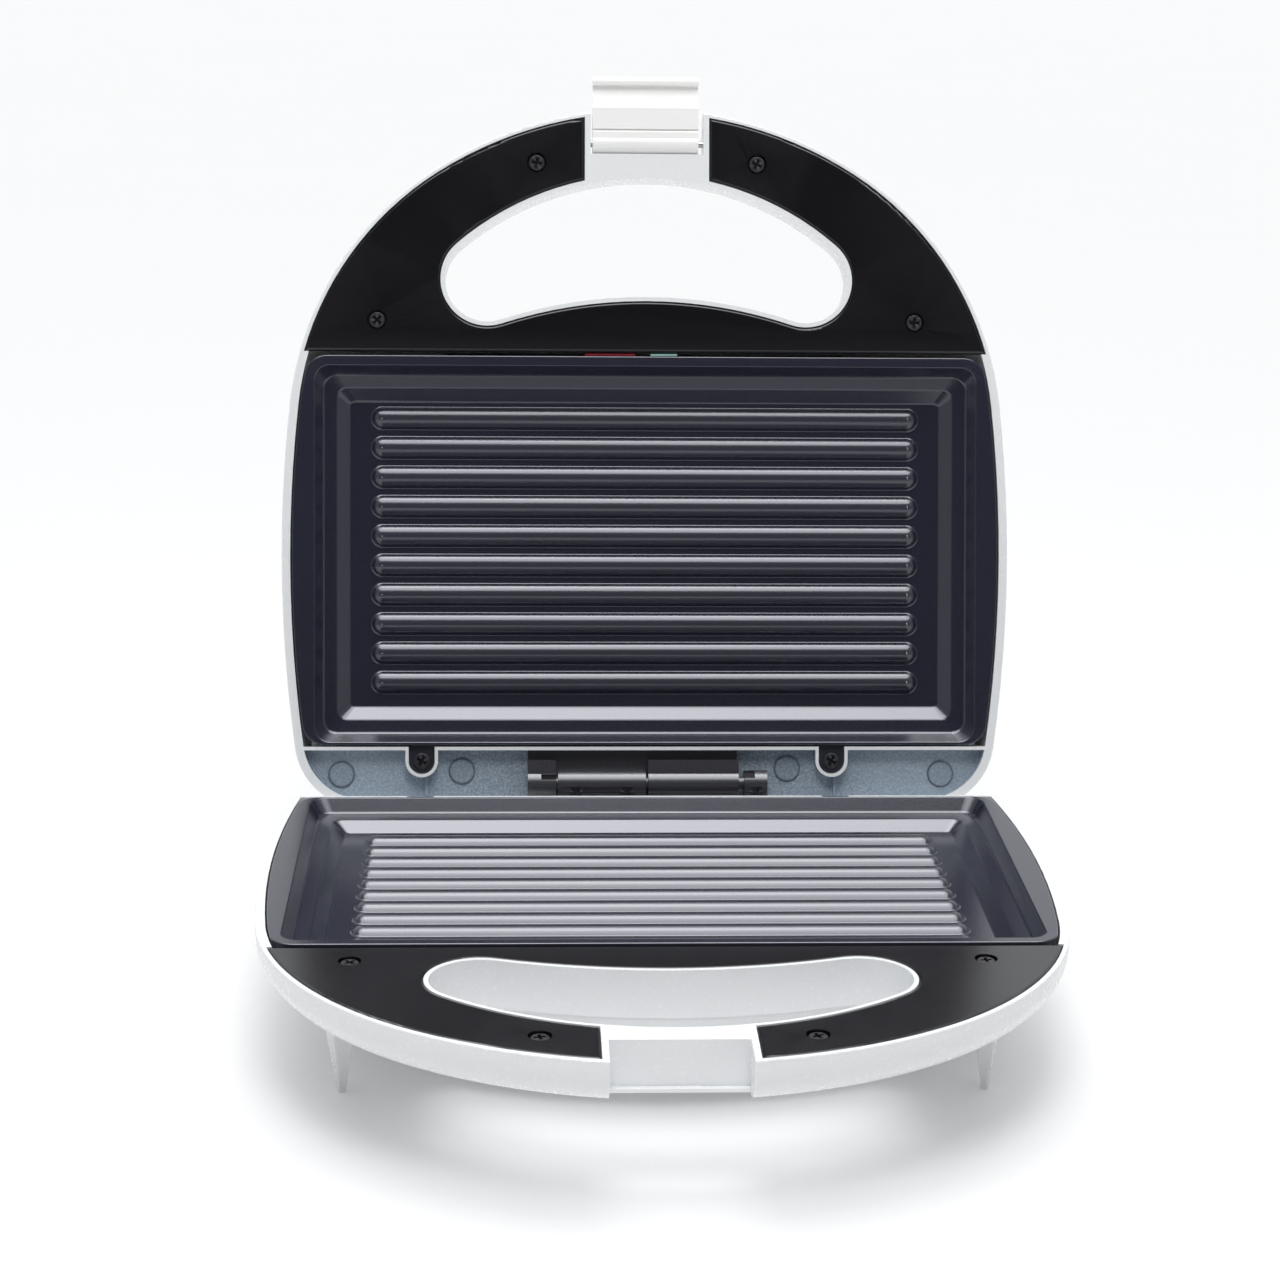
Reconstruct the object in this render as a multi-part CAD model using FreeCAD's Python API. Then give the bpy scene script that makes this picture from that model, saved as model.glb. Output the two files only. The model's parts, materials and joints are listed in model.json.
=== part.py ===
"""Panini press with a hinged lid, a snap-over latch and ribbed non-stick plates.

Frame: X to the right, Y to the rear (the handles point to -Y), Z up, millimetres.
Everything is built about the hinge axis, with the press shut: the lower half lies below it
and the upper half is its mirror image above it. The lid and latch are then swung open, and
the whole press is moved so that the origin is the middle of its bounding box at floor level.

Plan positions are given as (x, v), where v is the distance from the hinge axis towards the
front, so y = -v.
"""
import FreeCAD, Part
import os
from math import asin, atan2, cos, pi, radians, sin, sqrt

# ---------------------------------------------------------------- overall sizes
half_width = 114.3            # widest point of each housing
front_reach = 211.8           # hinge axis to the front of the handle
rear_reach = 8.0              # hinge axis to the rear wall of the lid
half_gap = 0.74               # hinge axis to each housing's flat mating face
rim_depth = 0.45              # hinge axis to each plate's rim, which stands a little proud
lid_open_angle = 104.5        # lid at rest on its stop
floor_drop = 43.9             # hinge axis to the floor

# ---------------------------------------------------------------- outline of a housing
side_radius = 440.0           # gentle bow of the long sides, ahead of the widest point
side_bow = 7.128              # how far the sides draw in from the widest point to the rear
shoulder_reach = 92.5         # front of the handle to where the side turns into the shoulder
shoulder_run = 48.1           # from there back to the widest point
shoulder_radius = 99.7
rear_corner_radius = 22.0

# ---------------------------------------------------------------- housing sections
wall = 2.7
band_depth = 13.5             # depth of the handle and of the rim all round
band_round = 10.5             # rounding under the band
rim_round = 0.5               # rounding of the mating edge
tub_inset = 9.0               # tub under the plate, set in from the outline
tub_draft = 9.0               # further inset of the tub at its floor
tub_front_draft = 2.7         # the same at its arched front
tub_rear = 14.0               # v of the tub's rear wall where it meets the band
tub_corner = 14.0
tub_depth = 32.0
tub_round = 8.0

# ---------------------------------------------------------------- handle
handle_bar = 21.9             # front of the handle to the finger slot
slot_gap = 37.1               # finger slot, front to rear at the middle
slot_front_radius = 90.4
slot_rear_radius = 147.8
slot_end_radius = 13.3
slot_lip = 1.3                # housing edge seen round the slot
edge_lip = 1.3                # housing edge seen round the handle frame
frame_thickness = 2.0
frame_edge_round = 1.1        # rounding of the handle frame's edges
frame_notch_half = 19.5
notch_half = 17.7             # notch for the latch
latch_seat = 14.3             # front of the handle to the flat face behind the latch
catch_ledge = 1.7             # ledge that the latch hooks under
catch_height = 1.0

# ---------------------------------------------------------------- grill plates
plate_inset = 3.2             # plate edge set in from the outline
plate_rear = 11.9             # v of the rear edge
plate_length = 122.2
plate_corner_radius = 7.0
plate_thickness = 2.2
plate_joint_gap = 1.2         # plate to handle frame
rim_side = 7.0                # flat rim beside the tray
rim_rear = 0.9
rim_front = 3.1
wall_1_run, wall_1_drop = 2.7, 4.1
step_run, step_drop = 4.2, 0.8
wall_2_run = 4.0
tray_room = 1.0               # under the plate, to the floor of the band
ridge_count = 10
ridge_pitch = 9.27
ridge_first = 31.4            # v of the rear ridge
ridge_radius = 4.0
ridge_height = 2.0
ridge_length = 173.0
ridge_foot_round = 0.7
rim_edge_round = 0.4          # rounding of the rim, outside and at the tray
tray_rounds = (1.2, 1.6, 1.4)   # foot of the steep wall, step and floor
ear_half = 3.9                # screw ear at the rear of the plate
ear_reach = 6.9               # v of the ear's screw
ear_drops = (4.6, 2.2)        # mating face to the top of the ear, in the base and in the lid
ear_thickness = 2.0
ear_spots = (-70.5, 58.7)     # x of the two screws

# ---------------------------------------------------------------- rear of the housings
cross_wall_rear = 10.3        # wall behind the plate
cross_wall_front = 11.4
pocket_room = 1.6             # recess in the lid round the hinge, beyond a knuckle
shelf_room = 4.6              # lowest point of a knuckle to the shelf behind the lower plate
stop_gap = 0.35               # open lid to the sloping stop under it
base_rear_edge = 5.0          # the base ends this far behind the axis
boss_wall = 1.0
ear_fit = 0.2                 # round a plate ear in its boss
disc_radius = 4.0
disc_height = 0.6
disc_spots = ((-95.9, 2.4), (-58.0, 3.4), (45.0, 4.2), (94.0, 2.4))
rib_height = 1.2

# ---------------------------------------------------------------- hinge
barrel_radius = 4.0
pin_radius = 2.0
running_gap = 0.05            # radial, for every pin in a moving part
lid_ear = (-37.2, -28.3)      # knuckles from left to right
base_barrel = (-27.7, -0.2)
lid_barrel = (0.6, 29.0)
base_ear = (30.8, 38.0)
web_reach = 7.2               # strap in front of a lid knuckle
bracket_plate = 2.0

# ---------------------------------------------------------------- latch
latch_half = 16.6
latch_offset = -0.5           # it sits a little to the left in its notch
latch_pivot_reach = 10.9      # front of the handle to the latch pivot
latch_pivot_height = 3.0      # above the hinge plane when shut
latch_barrel_radius = 3.0
latch_pin_radius = 1.0
latch_hook_gap = 0.76         # hook to the ledge it grips when shut
latch_hook_thickness = 2.6
latch_hook_tip = 3.0          # hook beyond the pivot line
latch_face_rise = 2.6         # pivot to the clip's face
latch_block_reach = 4.0       # the pivot block, above and below its pin
latch_block_drop = 1.9
latch_block_round = 0.6
latch_groove, latch_groove_depth = 0.4, 0.7
latch_hollow = 7.0            # hollow under the hook, along the clip

# ---------------------------------------------------------------- legs
leg_spot = (88.4, 131.5)
rear_leg_spot = (80.0, 7.0)
leg_tip = (1.9, 5.0)          # thickness and width at the floor
leg_top = (9.0, 12.1)
leg_corner = 0.8
leg_turn = 18.0
spigot_radius = 2.0

# ---------------------------------------------------------------- small parts
screw_head_radius = 2.5
screw_head_height = 1.3
screw_shank_radius = 1.45
screw_fit = 0.05
cross_reach, cross_width, cross_depth = 1.5, 0.75, 0.9
frame_screw_inner = (34.6, 17.2)   # x, distance back from the front
frame_screw_outer = (84.5, 66.6)
frame_screw_length = 8.0
ear_screw_length = 6.0
counterbore_radius = 3.1
counterbore_depth = 1.7
boss_radius = 3.8
heater_radius = 3.2
heater_half = 62.0
shield_half = 84.0
shield_gap = 0.6              # heat shield to the inner end of the gland
shield_depth = 22.0
shield_thickness = 1.0
gland_spot = (60.0, -23.0)
gland_bore = 3.4
gland_body = 5.0
gland_tail = 5.0              # inside the wall
gland_flange = 2.0            # beyond the body all round, and its thickness
sleeve_span = (2.4, 13.0)     # lead sleeve in the lid's pocket
sleeve_gap = 0.43             # sleeve to the knuckle it runs behind
lens_length = 5.6
lens_guide = 0.6              # thickness of the light guide beside the handle frame
lens_guide_gap = 0.35
lens_sink = 0.8               # guide end below the mating face
lens_proud = 0.4              # window beyond the tub
lamp_radius = 1.8
sleeve_radius = 1.1
sleeve_bend = 2.0
lens_x = ((-19.4, -3.6), (1.2, 9.6))   # red window, green window
lens_fit = 0.1                # round a window in the housing
partition_wall = 1.6          # behind the handle frame
cheek_wall = 0.6              # behind the lip beside the latch notch
screw_hole_fit = 0.3          # radial, round a screw in the part it holds down
head_round = 0.45
base_screws_x = (-22.0, -6.0, 34.4)
base_screws_v = 6.2
lid_screws_x = (-19.0, -9.0)
lid_screws_v = -2.4
bracket_screw_length = 5.5
bracket_screw_sunk = 0.6
lid_screw_head = (1.9, 0.9)   # radius, height
shield_screw_x = 74.0
shield_screw_inset = 24.0     # from each end of the plate
shield_screw_length = 6.5
shield_pilot = 7.0
heater_bend = 40.0
heater_rear, heater_front = 16.0, 22.0   # set in from each end of the plate
heater_pin_radius, heater_pin_length = 1.2, 8.0
thermostat_v = 73.0
thermostat_half, thermostat_height = (9.0, 7.0), 4.0
thermostat_cap_radius, thermostat_cap_height = 5.5, 2.2
tag_half, tag_length, tag_x = 2.0, 4.0, 5.0
fuse_v = 60.0
fuse_x, fuse_length, fuse_radius = 31.0, 14.0, 2.0
fuse_lead_length, fuse_lead_radius = 34.0, 0.6
terminal_x = (40.0, 50.0, 60.0)
terminal_half, terminal_length = 5.0, 18.0
terminal_base, terminal_top = 3.0, 3.0   # heights of the foot and of the block on it
terminal_bore = 1.4

V = FreeCAD.Vector
plate_front = plate_rear + plate_length
frame_rear = plate_front + plate_joint_gap
slot_front = front_reach - handle_bar
slot_rear = slot_front - slot_gap
seat_reach = front_reach - latch_seat
pivot_reach = front_reach - latch_pivot_reach
band_floor = -half_gap - band_depth
tub_floor = -half_gap - tub_depth
rest_plane_slope = radians(lid_open_angle - 90.0)
shoulder_start = front_reach - shoulder_reach
side_mid = shoulder_start - shoulder_run
rear_side_radius = (side_mid + rear_reach)**2 / (2.0 * side_bow)
tray_depth = band_depth + half_gap - wall - tray_room - plate_thickness - rim_depth
wall_2_drop = tray_depth - wall_1_drop - step_drop
pocket_depth = barrel_radius + pocket_room
shelf_drop = barrel_radius + shelf_room
latch_hook_reach = latch_pivot_height + half_gap + band_depth + latch_hook_gap
latch_flat_end = latch_hook_reach - latch_hollow
sleeve_v = sleeve_radius + wall - rear_reach


# ================================================================ plan shapes
def plan(x, v, z=0.0):
    return V(x, -v, z)


def plan_arc(centre, radius, start, end):
    """Arc about (x, v) from one angle to another, in radians from +X towards +v."""
    points = []
    for turn in (start, (start + end) / 2.0, end):
        points.append(plan(centre[0] + radius * cos(turn), centre[1] + radius * sin(turn)))
    return Part.Arc(*points).toShape()


def mirrored_loop(right_edges, first):
    """Closes the right-hand edges, which run from the rear to the front, with their mirror."""
    left_edges = [edge.mirror(V(0, 0, 0), V(1, 0, 0)) for edge in right_edges]
    edges = list(right_edges) + left_edges
    if abs(first.x) > 1e-6:
        edges.append(Part.makeLine(first, V(-first.x, first.y, first.z)))
    return Part.Wire(Part.__sortEdges__(edges))


def outline_wire(inset):
    """Housing outline set in by a distance: bowed sides, round shoulders and round front."""
    side = (half_width - side_radius, side_mid)
    turn_1 = asin((shoulder_start - side_mid) / side_radius)
    reach = side_radius - shoulder_radius
    shoulder = (side[0] + reach * cos(turn_1), side[1] + reach * sin(turn_1))
    room = front_reach - shoulder_radius
    front_v = (room**2 - shoulder[0]**2 - shoulder[1]**2) / (2.0 * (room - shoulder[1]))
    front_radius = front_reach - front_v
    turn_2 = atan2(shoulder[1] - front_v, shoulder[0])
    corner_radius = max(rear_corner_radius - inset, 2.0)
    corner_v = -rear_reach + inset + corner_radius
    rear_side = (half_width - rear_side_radius, side_mid)
    to_corner = rear_side_radius - inset - corner_radius
    turn_0 = asin((corner_v - side_mid) / to_corner)
    corner = (rear_side[0] + to_corner * cos(turn_0), corner_v)
    right = [
        plan_arc(corner, corner_radius, -pi / 2, turn_0),
        plan_arc(rear_side, rear_side_radius - inset, turn_0, 0.0),
        plan_arc(side, side_radius - inset, 0.0, turn_1),
        plan_arc(shoulder, shoulder_radius - inset, turn_1, turn_2),
        plan_arc((0, front_v), front_radius - inset, turn_2, pi / 2),
    ]
    return mirrored_loop(right, plan(corner[0], -rear_reach + inset))


def slot_wire(grow):
    """Finger slot: a crescent between two arcs with round ends."""
    front_centre = slot_front - slot_front_radius
    rear_centre = slot_rear - slot_rear_radius
    to_front = slot_front_radius - slot_end_radius
    to_rear = slot_rear_radius + slot_end_radius
    spread = to_rear**2 - to_front**2 + front_centre**2 - rear_centre**2
    end_v = spread / (2.0 * (front_centre - rear_centre))
    end_x = sqrt(to_front**2 - (end_v - front_centre)**2)
    rear_turn = atan2(end_v - rear_centre, end_x)
    front_turn = atan2(end_v - front_centre, end_x)
    right = [
        plan_arc((0, rear_centre), slot_rear_radius - grow, pi / 2, rear_turn),
        plan_arc((end_x, end_v), slot_end_radius + grow, rear_turn - pi, front_turn),
        plan_arc((0, front_centre), slot_front_radius + grow, front_turn, pi / 2),
    ]
    return mirrored_loop(right, plan(0, slot_rear + grow))


def prism(wire, top, bottom):
    face = Part.Face(wire)
    face.translate(V(0, 0, bottom))
    return face.extrude(V(0, 0, top - bottom))


def block(x0, x1, v0, v1, bottom, top):
    """Box between two x values, two v values and two heights."""
    return Part.makeBox(x1 - x0, v1 - v0, top - bottom, V(x0, -v1, bottom))


def disc(x, v, radius, bottom, top):
    return Part.makeCylinder(radius, top - bottom, V(x, -v, bottom))


def rod(x0, x1, radius, v=0.0, z=0.0):
    """Cylinder along X."""
    return Part.makeCylinder(radius, x1 - x0, V(x0, -v, z), V(1, 0, 0))


def rounded_rectangle(half_x, rear, front, corner, z):
    """Wire of a rectangle with round corners, in plan."""
    corner = min(corner, half_x * 0.9, (front - rear) * 0.45)
    right = [
        plan_arc((half_x - corner, rear + corner), corner, -pi / 2, 0),
        Part.makeLine(plan(half_x, rear + corner), plan(half_x, front - corner)),
        plan_arc((half_x - corner, front - corner), corner, 0, pi / 2),
    ]
    left = [edge.mirror(V(0, 0, 0), V(1, 0, 0)) for edge in right]
    ends = []
    for v in (rear, front):
        ends.append(Part.makeLine(plan(corner - half_x, v), plan(half_x - corner, v)))
    wire = Part.Wire(Part.__sortEdges__(right + left + ends))
    wire.translate(V(0, 0, z))
    return wire


def fuse(shapes):
    shapes = list(shapes)
    whole = shapes[0]
    if len(shapes) > 1:
        whole = whole.multiFuse(shapes[1:])
    return whole.removeSplitter()


def round_edges(solid, radius, chosen):
    """Fillets the edges that a test accepts."""
    edges = [edge for edge in solid.Edges if chosen(edge)]
    return solid.makeFillet(radius, edges)


def lies_at(z):
    return lambda edge: abs(edge.BoundBox.ZMin - z) < 1e-4 and abs(edge.BoundBox.ZMax - z) < 1e-4


# ================================================================ fasteners
def screw(x, v, head_top, length, head_turn=30.0):
    """Pan-head cross-recessed screw pointing down."""
    head_bottom = head_top - screw_head_height
    head = disc(x, v, screw_head_radius, head_bottom, head_top)
    head = round_edges(head, head_round, lies_at(head_top))
    shank = disc(x, v, screw_shank_radius, head_bottom - length, head_bottom)
    cross = []
    for turn in (0.0, 90.0):
        bar = Part.makeBox(2 * cross_reach, cross_width, screw_head_height,
                           V(-cross_reach, -cross_width / 2, 0))
        bar.rotate(V(0, 0, 0), V(0, 0, 1), turn + head_turn)
        bar.translate(V(x, -v, head_top - cross_depth))
        cross.append(bar)
    return fuse([head, shank]).cut(fuse(cross))


def frame_screw_spots():
    spots = []
    for x, back in (frame_screw_inner, frame_screw_outer):
        spots += [(-x, front_reach - back), (x, front_reach - back)]
    return spots


def frame_screws():
    top = -half_gap - counterbore_depth + screw_head_height
    turns = (12.0, 25.0, 44.0, 5.0)
    return [screw(x, v, top, frame_screw_length, turn)
            for (x, v), turn in zip(frame_screw_spots(), turns)]


def ear_screws(ear_drop):
    top = -half_gap - ear_drop + screw_head_height
    return [screw(x, ear_reach, top, ear_screw_length) for x in ear_spots]


# ================================================================ housings
def tub_level(inset, front_inset, z):
    """Section of the tub at one height: bowed sides, an arched front and round corners."""
    plate = prism(outline_wire(tub_inset + inset), 1.0, 0.0)
    front = disc(0, slot_rear - slot_rear_radius, slot_rear_radius - front_inset, 0.0, 1.0)
    ahead = block(-half_width, half_width, tub_rear + inset, front_reach, 0.0, 1.0)
    plate = plate.common(front).common(ahead)
    upright = lambda edge: abs(edge.BoundBox.ZLength - 1.0) < 1e-4 and edge.Length < 1.001
    sharp = lambda edge: upright(edge) and not tangent_edge(edge, plate)
    plate = round_edges(plate, tub_corner - inset / 3.0, sharp)
    wires = [face.OuterWire for face in plate.Faces if abs(face.CenterOfMass.z) < 1e-6]
    wires[0].translate(V(0, 0, z))
    return wires[0]


def tangent_edge(edge, solid):
    """True where the two faces beside an upright edge run smoothly into each other."""
    normals = []
    point = edge.valueAt((edge.FirstParameter + edge.LastParameter) / 2.0)
    for face in solid.Faces:
        if any(other.isSame(edge) for other in face.Edges):
            u, v = face.Surface.parameter(point)
            normals.append(face.normalAt(u, v))
    return len(normals) == 2 and normals[0].getAngle(normals[1]) < radians(4.0)


def tub_form(skin, top):
    """Drafted tub with a rounded floor; a skin thickness gives its inner form."""
    floor = tub_floor + skin
    levels = [tub_level(skin, skin, top),
              tub_level(skin + tub_draft, skin + tub_front_draft, floor)]
    tub = Part.makeLoft(levels, True, True)
    return round_edges(tub, tub_round - skin, lies_at(floor))


def outer_shell():
    """Solid form of a housing: a rounded band with a deeper tub under the plate."""
    band = prism(outline_wire(0.0), -half_gap, band_floor)
    band = round_edges(band, band_round, lies_at(band_floor))
    band = round_edges(band, rim_round, lies_at(-half_gap))
    return fuse([band, tub_form(0.0, band_floor + wall)])


def inner_space():
    """Hollow of a housing in front of the cross wall."""
    floor = band_floor + wall
    band = prism(outline_wire(wall), 1.0, floor)
    band = round_edges(band, band_round - wall, lies_at(floor))
    ahead = block(-half_width, half_width, cross_wall_front, front_reach, tub_floor, 1.0)
    return fuse([band, tub_form(wall, floor + wall)]).common(ahead)


def screw_boss(x, v, top, bottom, pilot):
    boss = disc(x, v, boss_radius, bottom, top)
    return boss.cut(disc(x, v, screw_shank_radius + screw_fit, top - pilot, top))


def ear_boss(x, floor, top, ear_drop):
    """U-shaped wall round a plate ear, on a column that takes its screw."""
    outer = ear_half + ear_fit + boss_wall
    column = disc(x, ear_reach, outer, floor, top)
    column = column.fuse(block(x - outer, x + outer, ear_reach, cross_wall_front, floor, top))
    inner = ear_half + ear_fit
    seat = -half_gap - ear_drop - ear_thickness
    room = disc(x, ear_reach, inner, seat, 1.0)
    room = room.fuse(block(x - inner, x + inner, ear_reach, cross_wall_front + 1, seat, 1.0))
    pilot = disc(x, ear_reach, screw_shank_radius + screw_fit, seat - ear_screw_length, seat)
    return column.cut(room), room.fuse(pilot)


def handle_details(shell):
    """Slot walls, frame bosses, the frame's seat and the latch notch."""
    tube = prism(slot_wire(slot_lip * 2), -half_gap, band_floor + wall / 2)
    partition = block(-half_width, half_width, frame_rear, frame_rear + partition_wall,
                      tub_floor + wall / 2, -half_gap - frame_thickness)
    partition = partition.common(outer_shell())
    notch_wall = edge_lip + cheek_wall
    cheeks = block(-notch_half - notch_wall, notch_half + notch_wall, slot_front,
                   front_reach, band_floor + wall / 2, -half_gap)
    cheeks = cheeks.common(outer_shell())
    seat = frame_blank(0.0, edge_lip - 0.1)
    added = [shell, tube, partition, cheeks]
    for x, v in frame_screw_spots():
        top = -half_gap - frame_thickness
        added.append(screw_boss(x, v, top, band_floor + wall / 2, frame_screw_length))
    shell = fuse(added)
    shell = shell.cut(seat)
    for x, v in frame_screw_spots():
        shell = shell.cut(disc(x, v, screw_shank_radius + screw_fit,
                               -half_gap - frame_thickness - frame_screw_length, 0))
    shell = shell.cut(prism(slot_wire(0.0), 1.0, tub_floor + wall * 2))
    return shell


def frame_blank(clearance, lip):
    """Plan of the black handle frame, from its top face down to its seat."""
    top = -half_gap
    bottom = top - frame_thickness
    blank = prism(outline_wire(lip), top, bottom)
    ahead = block(-half_width, half_width, frame_rear, front_reach, bottom, top)
    blank = blank.common(ahead)
    blank = blank.cut(prism(slot_wire(slot_lip + clearance), top, bottom))
    gap = frame_notch_half + clearance
    return blank.cut(block(-gap, gap, slot_front - 2.0, front_reach, bottom, top))


def lower_notch():
    """Recess in the base handle, with the ledge that the latch hooks under left in it."""
    deep = block(-notch_half, notch_half, seat_reach + catch_ledge, front_reach + 1,
                 band_floor - 1, 1.0)
    shallow = block(-notch_half, notch_half, seat_reach, front_reach + 1,
                    band_floor + catch_height, 1.0)
    return deep.fuse(shallow)


def upper_notch():
    """Notch in the lid handle for the latch, with cross holes for its pin."""
    notch = block(-notch_half, notch_half, seat_reach, front_reach + 1, band_floor - 1, 1.0)
    reach = notch_half + edge_lip + cheek_wall
    hole = rod(-reach, reach, latch_pin_radius + running_gap, pivot_reach,
               -latch_pivot_height)
    return notch.fuse(hole)


def rear_profile(points):
    """Prism across the whole width from (y, z) points."""
    wide = half_width + 1
    corners = [V(-wide, y, z) for y, z in points]
    face = Part.Face(Part.makePolygon(corners + corners[:1]))
    return face.extrude(V(2 * wide, 0, 0))


def open_lid_line(depth):
    """(y, z) of the open lid's rear wall, lowered by the stop gap."""
    y = -rear_reach * sin(rest_plane_slope) + depth * cos(rest_plane_slope)
    z = -rear_reach * cos(rest_plane_slope) - depth * sin(rest_plane_slope)
    return (y - stop_gap * sin(rest_plane_slope), z - stop_gap * cos(rest_plane_slope))


def base_housing():
    shell = outer_shell().cut(inner_space())
    shell = handle_details(shell)
    start = open_lid_line(0.0)
    slope = -rest_plane_slope
    level_y = start[0] + (start[1] + shelf_drop) / sin(-slope) * cos(slope)
    far = open_lid_line(40.0)
    room = rear_profile([(-cross_wall_rear, 1.0), (-cross_wall_rear, -shelf_drop),
                         (level_y, -shelf_drop), far, (far[0], 1.0)])
    shell = shell.cut(room)
    shell = shell.cut(block(-half_width, half_width, -40.0, -base_rear_edge, tub_floor, 1.0))
    boss_top = -half_gap - ear_drops[0]
    shell = add_ear_bosses(shell, band_floor + wall / 2, boss_top, ear_drops[0])
    shell = shell.cut(lower_notch())
    x, z = gland_spot
    hole = Part.makeCylinder(gland_body + 0.1, 2 * tub_rear, V(x, -2 * tub_rear, z), V(0, 1, 0))
    shell = shell.cut(hole)
    for spot_x, spot_v in (leg_spot, rear_leg_spot):
        for side in (-1, 1):
            shell = shell.cut(disc(side * spot_x, spot_v, spigot_radius + 0.05,
                                   band_floor - 1, band_floor + wall + 0.1))
    for x in base_screws_x:
        shell = shell.cut(disc(x, base_screws_v, screw_shank_radius + screw_fit,
                               -shelf_drop - bracket_screw_length, 0))
    return shell


def add_ear_bosses(shell, floor, top, ear_drop):
    for x in ear_spots:
        column, room = ear_boss(x, floor, top, ear_drop)
        shell = shell.cut(room).fuse(column).cut(room)
    return shell.removeSplitter()


def lid_housing():
    """Upper housing, built upside down like the lower one."""
    shell = outer_shell().cut(inner_space())
    shell = handle_details(shell)
    floor = -half_gap - pocket_depth
    pocket = prism(outline_wire(wall), 1.0, floor)
    behind = block(-half_width, half_width, -rear_reach, cross_wall_rear, floor, 1.0)
    shell = shell.cut(pocket.common(behind))
    under = prism(outline_wire(wall), floor - wall, band_floor + wall)
    behind = block(-half_width, half_width, tub_round - rear_reach, cross_wall_front + 1,
                   band_floor + wall, floor - wall)
    shell = shell.cut(under.common(behind))
    shell = add_ear_bosses(shell, band_floor + wall / 2, -half_gap, ear_drops[1])
    pads = []
    for x, v in disc_spots:
        pads.append(disc(x, v, disc_radius, floor - 0.1, floor + disc_height))
    for x in ear_spots:
        pads.append(block(x + 1.0, x + 1.8, 1.0 - rear_reach + wall, ear_reach - ear_half - 0.5,
                          floor - 0.1, floor + rib_height))
    shell = fuse([shell] + pads)
    shell = shell.cut(upper_notch())
    for x0, x1 in lens_x:
        shell = shell.cut(block(x0 - lens_fit, x1 + lens_fit, frame_rear - 1.0,
                                lens_front() + lens_fit, tub_floor - 1, tub_floor + wall + 1))
        shell = shell.cut(block(x0 - lens_fit, x1 + lens_fit, frame_rear - 1.0, frame_rear,
                                tub_floor, 0))
    for x in lid_screws_x:
        shell = shell.cut(disc(x, lid_screws_v, screw_shank_radius + screw_fit,
                               floor - bracket_screw_length, 0))
    return shell


# ================================================================ handle frame and plate
def handle_frame():
    frame = frame_blank(0.1, edge_lip)
    frame = round_edges(frame, frame_edge_round, lies_at(-half_gap))
    for x, v in frame_screw_spots():
        frame = frame.cut(disc(x, v, screw_shank_radius + screw_hole_fit, band_floor, 0))
        frame = frame.cut(disc(x, v, counterbore_radius, -half_gap - counterbore_depth, 0))
    return frame


def tray(grow, extra):
    """Sunk form of the plate: a steep wall, a step, an easy wall and a floor."""
    half = half_width - plate_inset - rim_side + grow
    rear = plate_rear + rim_rear - grow
    front = plate_front - rim_front + grow
    runs = (0.0, wall_1_run, step_run, wall_2_run)
    drops = (0.0, wall_1_drop, step_drop, wall_2_drop)
    wires = []
    inset, depth = 0.0, 0.0
    for run, drop in zip(runs, drops):
        inset += run
        depth += drop
        corner = max(5.0 - inset * 0.3, 1.5) + grow
        wires.append(rounded_rectangle(half - inset, rear + inset, front - inset, corner,
                                       -rim_depth - depth - extra))
    lid = rounded_rectangle(half, rear, front, 5.0 + grow, -rim_depth + (1.0 if not extra else 0.0))
    return Part.makeLoft([lid] + wires, True, True)


def ridge_spots():
    return [ridge_first + ridge_pitch * number for number in range(ridge_count)]


def rounded_tray():
    """The tray's form with soft edges at each change of slope."""
    form = tray(0.0, 0.0)
    depth = 0.0
    levels = []
    for drop in (wall_1_drop, step_drop, wall_2_drop):
        depth += drop
        levels.append(-rim_depth - depth)
    for level, radius in zip(levels, tray_rounds):
        form = round_edges(form, radius, lies_at(level))
    return form


def grill_plate(ear_drop):
    top = -rim_depth
    sheet = prism(outline_wire(plate_inset), top, top - plate_thickness)
    sheet = sheet.common(block(-half_width, half_width, plate_rear, plate_front,
                               top - plate_thickness, top))
    upright = lambda edge: abs(edge.BoundBox.ZLength - plate_thickness) < 1e-4
    sheet = round_edges(sheet, plate_corner_radius, upright)
    plate = sheet.fuse(tray(0.0, plate_thickness).common(below(top - 0.5)))
    plate = fuse([plate, tray_skirt()])
    floor = top - tray_depth
    plate = plate.cut(rounded_tray())
    plate = round_edges(plate, rim_edge_round, lies_at(top))
    ridges = []
    middle = floor + ridge_height - ridge_radius
    half = ridge_length / 2.0 - sqrt(ridge_radius**2 - (ridge_radius - ridge_height)**2)
    for v in ridge_spots():
        body = rod(-half, half, ridge_radius, v, middle)
        ends = [Part.makeSphere(ridge_radius, plan(x, v, middle)) for x in (-half, half)]
        ridges.append(fuse([body] + ends).common(below(top).cut(below(floor - 0.8))))
    plate = fuse([plate] + ridges)
    at_foot = lambda edge: lies_at(floor)(edge) and edge.BoundBox.XLength < ridge_length + 1 \
        and edge.BoundBox.YLength < 2 * ridge_radius
    plate = round_edges(plate, ridge_foot_round, at_foot)
    return fuse([plate] + plate_ears(ear_drop) + plate_bosses())


def below(z):
    return block(-half_width, half_width, -rear_reach, front_reach, z - 60.0, z)


def tray_skirt():
    """Outer skin of the tray's steep wall, under the rim."""
    half = half_width - plate_inset - rim_side + 1.2
    wires = []
    for inset, z in ((0.0, -rim_depth - 0.4), (wall_1_run * 0.8, -rim_depth - wall_1_drop)):
        wires.append(rounded_rectangle(half - inset, plate_rear + inset,
                                       plate_front - rim_front + 1.2 - inset, 5.0, z))
    bottom = rounded_rectangle(half - wall_1_run, plate_rear + wall_1_run + 0.3,
                               plate_front - rim_front + 1.2 - wall_1_run, 4.0,
                               -rim_depth - wall_1_drop - plate_thickness)
    return Part.makeLoft(wires + [bottom], True, True)


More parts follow.
